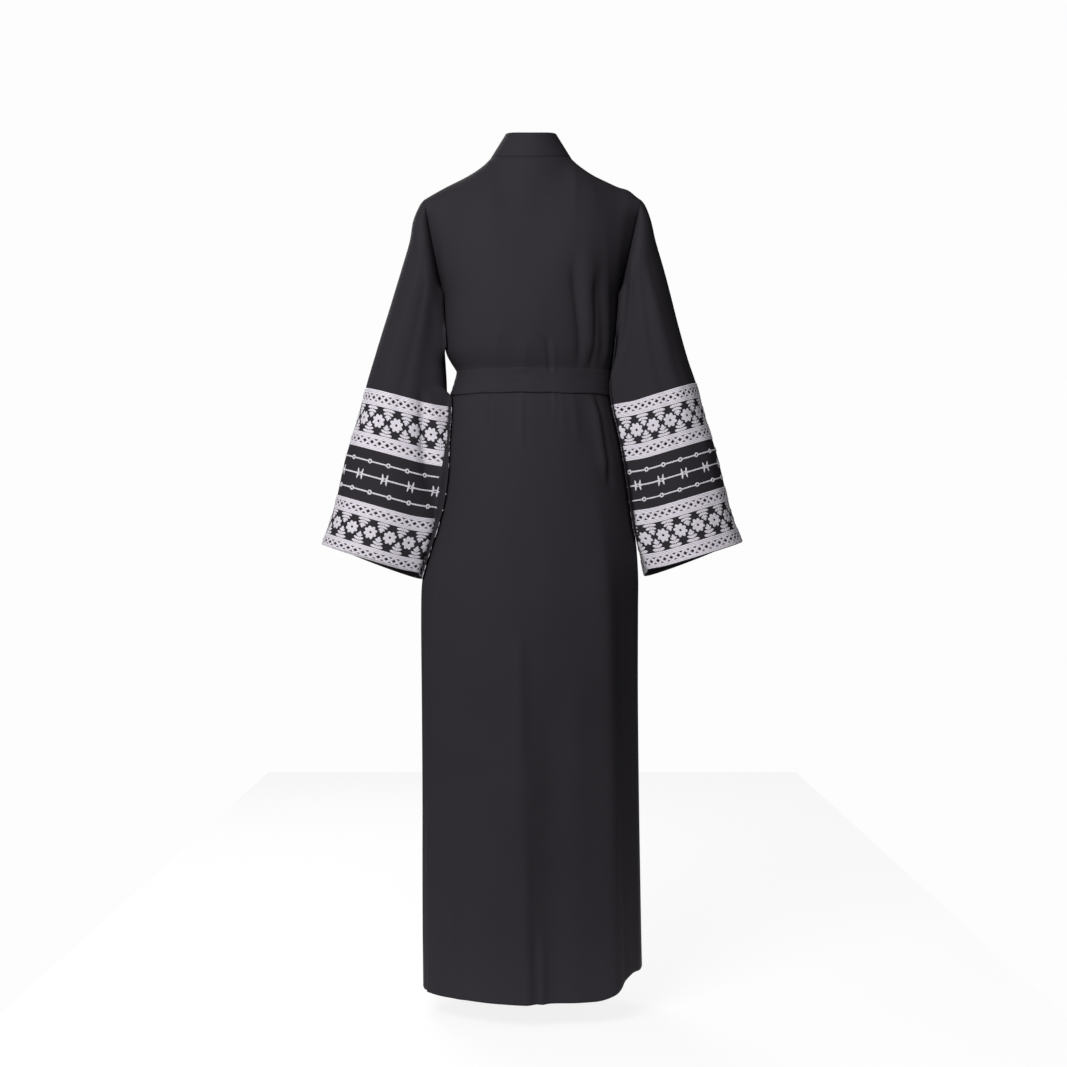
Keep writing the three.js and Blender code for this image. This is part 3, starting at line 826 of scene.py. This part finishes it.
def makeBelt():
    g = garment

    def surface(u, t):
        turn = 360 * u - 180
        a = math.radians(turn)
        edge = 1 - (2 * t - 1) ** 6  # the folded edges turn in
        out = mix(belt["lowerOut"], belt["upperOut"], t) + belt["swell"] * edge
        # creases run along the lower half, where the belt is drawn tight
        low = (1 - t) * edge
        out += 0.5 * low * math.sin(24 * t + 1.6 * math.sin(3 * a)) * (0.6 + 0.4 * math.sin(5 * a + 1))
        out += 0.3 * edge * math.sin(9 * a + 5 * t) * math.sin(2 * a + 1)
        z = mix(g["beltBottom"], g["beltTop"], t) + 0.9 * math.sin(4 * a + 0.7) * math.sin(7 * a)
        return beltPoint(turn, z, out)

    bm = clothGrid(surface, belt["columns"], belt["rows"], belt["cut"], (0, 0, g["beltTop"]),
                   closed=True)
    return finishMesh(bm, "beltBand", beltCrepe, belt["thick"], ["belt"])


beltPiece = makeBelt()

tails = {
    "width": 42,
    "top": -350,
    "bottomLeft": -742,
    "bottomRight": -708,
    "thick": 1.4,
    "grid": (16, 110),
    "cut": (42, 400),
}


def makeTail(side):
    name = sideName(side)
    bottom = tails["bottomLeft"] if side > 0 else tails["bottomRight"]

    def surface(u, t):
        v = 1 - t
        z = mix(tails["top"], bottom, v)
        spread = smooth(v, 0.04, 0.3)
        middle = side * (mix(12.5, 24, spread) + 9 * v)
        x = middle + (u - 0.5) * 2 * mix(0.24, 0.5, spread) * tails["width"]
        lift = mix(4.2, 0.9, smooth(-z, 385, 420)) + 1.4
        lift += 1.2 * (1 - spread) * math.cos(2 * math.pi * (u - 0.5) * 1.5)  # pleats from the knot
        lift += 0.5 * math.sin(v * 17 + 3 * u + side)
        p = trunkPoint(frontTurn(round(x, 3), round(z, 3)), z)
        p.y -= garment["overlapOut"] + lift
        return p

    bm = clothGrid(surface, *tails["grid"], tails["cut"], inTheSkirt)
    return finishMesh(bm, name + "BeltEnd", beltCrepe, tails["thick"],
                      ["belt_tail_" + name])


tailPieces = [makeTail(1), makeTail(-1)]

knot = {"z": -360, "wide": 54, "tall": 47, "deep": 22}


def makeKnot():
    bm = bmesh.new()
    bm.loops.layers.uv.new("cloth")
    bmesh.ops.create_uvsphere(bm, u_segments=48, v_segments=28, radius=1, calc_uvs=True)
    _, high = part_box("belt_knot")
    backY = high[1] / mm - 0.2
    for v in bm.verts:
        p = v.co.copy()
        p *= (abs(p.x) ** 3 + abs(p.y) ** 3 + abs(p.z) ** 3) ** (-1 / 3)
        pinch = 1 - 0.2 * math.exp(-((p.x / 0.42) ** 2))
        wrap = 1 + 0.10 * math.cos(9 * (p.x + 0.35 * p.z)) * math.exp(-((p.x / 0.8) ** 2))
        v.co = Vector((
            p.x * knot["wide"] / 2 * 0.97,
            backY + min(0, p.y * knot["deep"] * 0.86 * pinch * wrap),
            knot["z"] + p.z * knot["tall"] / 2 * pinch * 0.96 + 2.5 * p.x,
        )) * mm
    bmesh.ops.recalc_face_normals(bm, faces=bm.faces[:])
    return finishMesh(bm, "beltKnot", beltCrepe, 0, ["belt_knot"])


knotPiece = makeKnot()
print("belt made")

# embroidery

border = {
    "height": 100,
    "edgeStripe": 8.0,
    "lattice": 11.5,
    "innerStripe": 7.0,
    "strand": 4.0,
    "flowers": {"elbow": 15, "cuff": 16},
    "cells": {"elbow": 36, "cuff": 40},
    "petalLong": 10.2,
    "petalWide": 6.9,
    "heart": 1.7,
    # leaf pairs up a sprig: height, length, width, degrees above level
    "leaves": [(3.0, 11.0, 4.8, 6), (7.6, 9.2, 4.2, 18), (11.8, 6.6, 3.6, 34), (14.8, 4.4, 2.8, 52)],
    "stem": 18.0,
    "ribs": 3,  # lines of stitching in each stripe
    "margin": 0.6,
    "off": 0.35,  # stitches start this far off the cloth
    "raise": 0.9,
}
# where each border starts and ends, in sleeve sections
borderSpan = {
    1: {"elbow": (8.0, 10.08), "cuff": (12.2, 14.0)},
    -1: {"elbow": (7.86, 9.9), "cuff": (11.93, 13.97)},
}
# the three chains between the borders: y of each, motifs round the sleeve, bead spacing;
# a ring is radius and width, a spindle how far out it stands and its length and width
zone = {
    "height": 86,
    "lines": (18.0, 42.6, 69.4),
    "rings": 16,
    "ring": (2.8, 2.7),
    "ringRoom": 4.2,
    "spikes": 12,
    "eye": (2.2, 1.9),
    "spindle": (3.9, 4.3, 10.2, 3.1),
    "arm": (6.4, 6.0, 3.4),
    "spikeRoom": 8.6,
    "bead": 3.4,
}


@functools.lru_cache(maxsize=None)
def ringShares(side, k, count=180):  # share of the girth at each step round a section
    total, shares = 0, [0]
    last = sleevePoint(side, k, 0)
    for i in range(1, count + 1):
        here = sleevePoint(side, k, 360 * i / count)
        total += (here - last).length
        shares.append(total)
        last = here
    return [s / total for s in shares], total


def turnOfShare(side, k, share):  # degrees round the section at this share of its girth
    shares, _ = ringShares(side, k)
    count = len(shares) - 1
    share = share % 1.0
    low, high = 0, count
    while high - low > 1:
        middle = (low + high) // 2
        if shares[middle] <= share:
            low = middle
        else:
            high = middle
    t = (share - shares[low]) / (shares[high] - shares[low])
    return 360 * (low + t) / count


def onSleeve(side, first, last, tall, share, down, out):  # a place on one stretch of a sleeve
    k = mix(first, last, down / tall)
    i = min(max(math.floor(k), 0), sleeveEnd - 1)
    t = k - i
    a, b = turnOfShare(side, i, share), turnOfShare(side, i + 1, share)
    if b - a > 180:
        b -= 360
    if a - b > 180:
        b += 360
    return sleevePoint(side, k, mix(a, b, t), out)


almostRound = 0.99999  # the ends of a closed band meet without crossing


class Stitcher:  # lays flat motifs, drawn in millimetres, on one stretch of a sleeve
    def __init__(self, side, first, last, tall):
        self.side, self.first, self.last, self.tall = side, first, last, tall
        self.girth = ringShares(side, round((first + last) / 2))[1]
        self.bm = bmesh.new()
        self.layer = self.bm.loops.layers.uv.new("thread")

    def grid(self, columns, rows):
        made = bmesh.ops.create_grid(self.bm, x_segments=columns, y_segments=rows, size=1)
        return made["verts"]

    def lay(self, verts, uv, place):  # uv and place take a point of the unit motif
        for face in {f for v in verts for f in v.link_faces}:
            for loop in face.loops:
                loop[self.layer].uv = [c * mm for c in uv(loop.vert.co)]
        for v in verts:
            along, down, out = place(v.co)
            share = along / self.girth
            v.co = onSleeve(self.side, self.first, self.last, self.tall, share, down, out) * mm

    def oval(self, x, y, length, width, angle, high=None, points=10):
        # a satin-stitched leaf or petal: a domed oval whose middle stands highest
        made = bmesh.ops.create_circle(self.bm, cap_ends=True, cap_tris=True, segments=points, radius=1)
        high = border["raise"] if high is None else high
        cos, sin = math.cos(angle), math.sin(angle)

        def place(p):
            far = math.hypot(p.x, p.y)
            a, b = p.x * length / 2, p.y * width / 2 * (1 - 0.18 * p.x)
            return (x + a * cos - b * sin, y + a * sin + b * cos,
                    border["off"] + high * (1 - far**2 * 0.9))

        self.lay(made["verts"], lambda p: (p.x * length / 2, p.y * width / 2), place)

    def line(self, x0, y0, x1, y1, width, high=None, steps=3):
        # a raised line of stitches from one point to another
        high = border["raise"] if high is None else high
        length = math.hypot(x1 - x0, y1 - y0)
        nx, ny = -(y1 - y0) / length, (x1 - x0) / length

        def place(p):
            t = (p.x + 1) / 2
            return (mix(x0, x1, t) + nx * p.y * width / 2, mix(y0, y1, t) + ny * p.y * width / 2,
                    border["off"] + high * (1 - p.y * p.y))

        self.lay(self.grid(steps, 2), lambda p: (p.x * length / 2, p.y * width / 2), place)

    def stripe(self, top, bottom):
        # fine lines of stitching side by side, all round the sleeve
        ribs = border["ribs"]

        def uv(p):  # the thread's lines run along the stripe
            return (p.y + 1) / 2 * ribs * thread["lineMm"], (p.x + 1) / 2 * self.girth

        def place(p):
            t = (p.y + 1) / 2
            bulge = abs(math.sin(math.pi * t * ribs)) ** 0.6
            return ((p.x + 1) / 2 * self.girth * almostRound, mix(top, bottom, t),
                    border["off"] + border["raise"] * (0.25 + 0.75 * bulge))

        self.lay(self.grid(150, ribs * 4), uv, place)

    def lattice(self, top, bottom, cells):
        pitch = self.girth / cells
        for i in range(cells):
            x = i * pitch
            self.line(x, top - 0.4, x + pitch, bottom + 0.4, border["strand"], steps=4)
            self.line(x + pitch, top - 0.4, x, bottom + 0.4, border["strand"], 0.75, steps=4)

    def flower(self, x, y):
        # eight petals round a small open heart
        reach = border["heart"] + border["petalLong"] / 2
        for i in range(8):
            a = math.pi / 4 * (i + 0.5)
            self.oval(x + reach * math.cos(a), y + reach * math.sin(a), border["petalLong"],
                      border["petalWide"], a)

    def sprig(self, x, y, way):
        # leaves in pairs on a stem that grows from the stripe towards the flowers
        self.line(x, y, x, y + way * border["stem"], 1.8, 0.8)
        for up, reach, wide, lean in border["leaves"]:
            for hand in (-1, 1):
                a = math.radians(lean)
                dx, dy = math.cos(a) * hand, math.sin(a) * way
                self.oval(x + dx * reach / 2, y + way * up + dy * reach / 2, reach, wide,
                          math.atan2(dy, dx))
        self.oval(x, y + way * border["stem"], 5.0, 2.8, math.pi / 2, 0.8)

    def ring(self, x, y, radius, width):
        def place(p):
            a = math.pi * p.x * almostRound
            r = radius + p.y * width / 2
            return (x + r * math.cos(a), y + r * math.sin(a),
                    border["off"] + border["raise"] * (1 - p.y * p.y))

        self.lay(self.grid(18, 4), lambda p: (p.x * math.pi * radius, p.y * width / 2), place)

    def beads(self, x0, x1, y):
        count = max(1, round((x1 - x0) / zone["bead"]))
        step = (x1 - x0) / count
        for i in range(count):
            self.oval(x0 + (i + 0.5) * step, y, step * 1.4, 2.8, math.radians(12), 0.9, 8)

    def done(self, name, nodes):
        bmesh.ops.remove_doubles(self.bm, verts=self.bm.verts[:], dist=0.0005 * mm)
        bmesh.ops.recalc_face_normals(self.bm, faces=self.bm.faces[:])
        self.bm.normal_update()
        halfway = (self.first + self.last) / 2
        outer, inner = (sleevePoint(self.side, halfway, around) for around in (0, 180))
        middle = outer.lerp(inner, 0.5) * mm
        wrong = [f for f in self.bm.faces if f.normal.dot(f.calc_center_median() - middle) < 0]
        bmesh.ops.reverse_faces(self.bm, faces=wrong)
        return finishMesh(self.bm, name, whiteRayon, 0, nodes)


def makeBorder(side, where):
    b = border
    sewn = Stitcher(side, *borderSpan[side][where], b["height"])
    flowers = b["flowers"][where]
    pitch = sewn.girth / flowers
    for edge, way in ((b["margin"], 1), (b["height"] - b["margin"], -1)):
        latticeStart = edge + way * b["edgeStripe"]
        latticeEnd = latticeStart + way * b["lattice"]
        stripeEnd = latticeEnd + way * b["innerStripe"]
        sewn.stripe(*sorted((edge, latticeStart)))
        sewn.lattice(*sorted((latticeStart, latticeEnd)), b["cells"][where])
        sewn.stripe(*sorted((latticeEnd, stripeEnd)))
        for i in range(flowers):
            sewn.sprig((i + 0.75) * pitch, stripeEnd - way * 0.5, way)
    for i in range(flowers):
        sewn.flower((i + 0.25) * pitch, b["height"] / 2)
    name = sideName(side)
    return sewn.done(name + where.capitalize() + "Border", ["border_" + where + "_" + name])


def makeChains(side):
    sewn = Stitcher(side, borderSpan[side]["elbow"][1], borderSpan[side]["cuff"][0], zone["height"])
    upper, middle, lower = zone["lines"]
    pitch = sewn.girth / zone["rings"]
    room = zone["ringRoom"]
    for y, shift in ((upper, 0.3), (lower, 0.6)):
        for i in range(zone["rings"]):
            x = (i + shift) * pitch
            sewn.ring(x, y, *zone["ring"])
            sewn.beads(x + room, x + pitch - room, y)
    pitch = sewn.girth / zone["spikes"]
    room = zone["spikeRoom"]
    spindleX, spindleY, spindleLong, spindleWide = zone["spindle"]
    armX, armLong, armWide = zone["arm"]
    for i in range(zone["spikes"]):
        x = (i + 0.4) * pitch
        sewn.ring(x, middle, *zone["eye"])
        for hand in (-1, 1):
            for way in (-1, 1):
                sewn.oval(x + hand * spindleX, middle + way * spindleY, spindleLong, spindleWide,
                          way * math.radians(90 - hand * 9))
            sewn.oval(x + hand * armX, middle, armLong, armWide, 0)
        sewn.beads(x + room, x + pitch - room, middle)
    return sewn.done(sideName(side) + "SleeveChains", [])


embroidery = {side: [makeBorder(side, "elbow"), makeBorder(side, "cuff"), makeChains(side)]
              for side in (1, -1)}
faceCount = sum(len(piece.data.polygons) for group in embroidery.values() for piece in group)
print("embroidery made:", faceCount, "faces")

# floor, light and camera

studio = {
    "floorGap": 42,  # the hem hangs this far above the floor
    "distance": 3250,  # the camera's place behind the garment, from its middle
    "height": -616.6,
    "across": -4.3,
    "frameWidth": 1835,  # what the camera takes in at the garment
    "paper": "#707070",
    "paperGlow": 0.86,  # painted light: the sheet glows of itself, though no lamp lights it, so shadows on it stay faint
    "paperWide": 900,
    "paperNear": 420,
    "paperFar": 3200,
}


def makeFloor():
    bm = bmesh.new()
    bmesh.ops.create_grid(bm, x_segments=1, y_segments=1, size=1)
    for v in bm.verts:
        y = studio["paperNear"] if v.co.y > 0 else -studio["paperFar"]
        v.co = Vector((v.co.x * studio["paperWide"], y, garment["hemZ"] - studio["floorGap"])) * mm
    mesh = bpy.data.meshes.new("floor")
    bm.to_mesh(mesh)
    bm.free()
    material, _, shader = newMaterial("matt studio paper")
    shader.inputs["Base Color"].default_value = colour(studio["paper"])
    shader.inputs["Roughness"].default_value = 0.9
    # painted light: the paper's own glow evens out its shading and hides the shadows on it
    shader.inputs["Emission Color"].default_value = (1, 1, 1, 1)
    shader.inputs["Emission Strength"].default_value = studio["paperGlow"]
    mesh.materials.append(material)
    floor = bpy.data.objects.new("floor", mesh)
    bpy.context.scene.collection.objects.link(floor)


makeFloor()

light = {
    "ambientRight": 0.08,  # what the walls of the studio give back on either side
    "ambientLeft": 0.28,
    "backdrop": 0.98,  # how bright the paper behind the garment is
    "aimZ": -300,
    "distance": 2700,
    "key": {"turn": 23, "height": 24, "size": 1300, "watts": 66},
    "front": {"turn": 158, "height": 26, "size": 1300, "watts": 32},
}


def addSoftbox(name, turn, height, size, watts):  # turn from the camera's side to the wearer's left
    lamp = bpy.data.lights.new(name, "AREA")
    lamp.energy = watts
    lamp.size = size * mm
    holder = bpy.data.objects.new(name, lamp)
    t, h = math.radians(turn), math.radians(height)
    away = Vector((math.sin(t) * math.cos(h), math.cos(t) * math.cos(h), math.sin(h)))
    holder.location = Vector((0, 0, light["aimZ"] * mm)) + away * light["distance"] * mm
    holder.rotation_euler = (-away).to_track_quat("-Z", "Y").to_euler()
    bpy.context.scene.collection.objects.link(holder)


addSoftbox("key softbox", **light["key"])
addSoftbox("front softbox", **light["front"])

world = bpy.data.worlds.new("studio")
bpy.context.scene.world = world
world.use_nodes = True
tree = world.node_tree
seen = addNode(tree, "ShaderNodeLightPath")
direction = addNode(tree, "ShaderNodeTexCoord")
axes = addNode(tree, "ShaderNodeSeparateXYZ", {0: direction.outputs["Generated"]})
walls = addNode(tree, "ShaderNodeMapRange", {
    "Value": axes.outputs["X"], "From Min": -1.0, "From Max": 1.0,
    "To Min": light["ambientRight"], "To Max": light["ambientLeft"],
})
strength = addNode(tree, "ShaderNodeMapRange", {
    "Value": seen.outputs["Is Camera Ray"], "To Min": walls.outputs[0], "To Max": light["backdrop"],
})
tree.nodes["Background"].inputs["Color"].default_value = (1, 1, 1, 1)
tree.links.new(strength.outputs[0], tree.nodes["Background"].inputs["Strength"])
bpy.context.scene.view_settings.view_transform = "Standard"

lens = bpy.data.cameras.new("camera")
lens.sensor_width = 36
lens.lens = lens.sensor_width * studio["distance"] / studio["frameWidth"]
camera = bpy.data.objects.new("camera", lens)
camera.location = (studio["across"] * mm, studio["distance"] * mm, studio["height"] * mm)
camera.rotation_euler = (math.pi / 2, 0, math.pi)
bpy.context.scene.collection.objects.link(camera)
bpy.context.scene.camera = camera
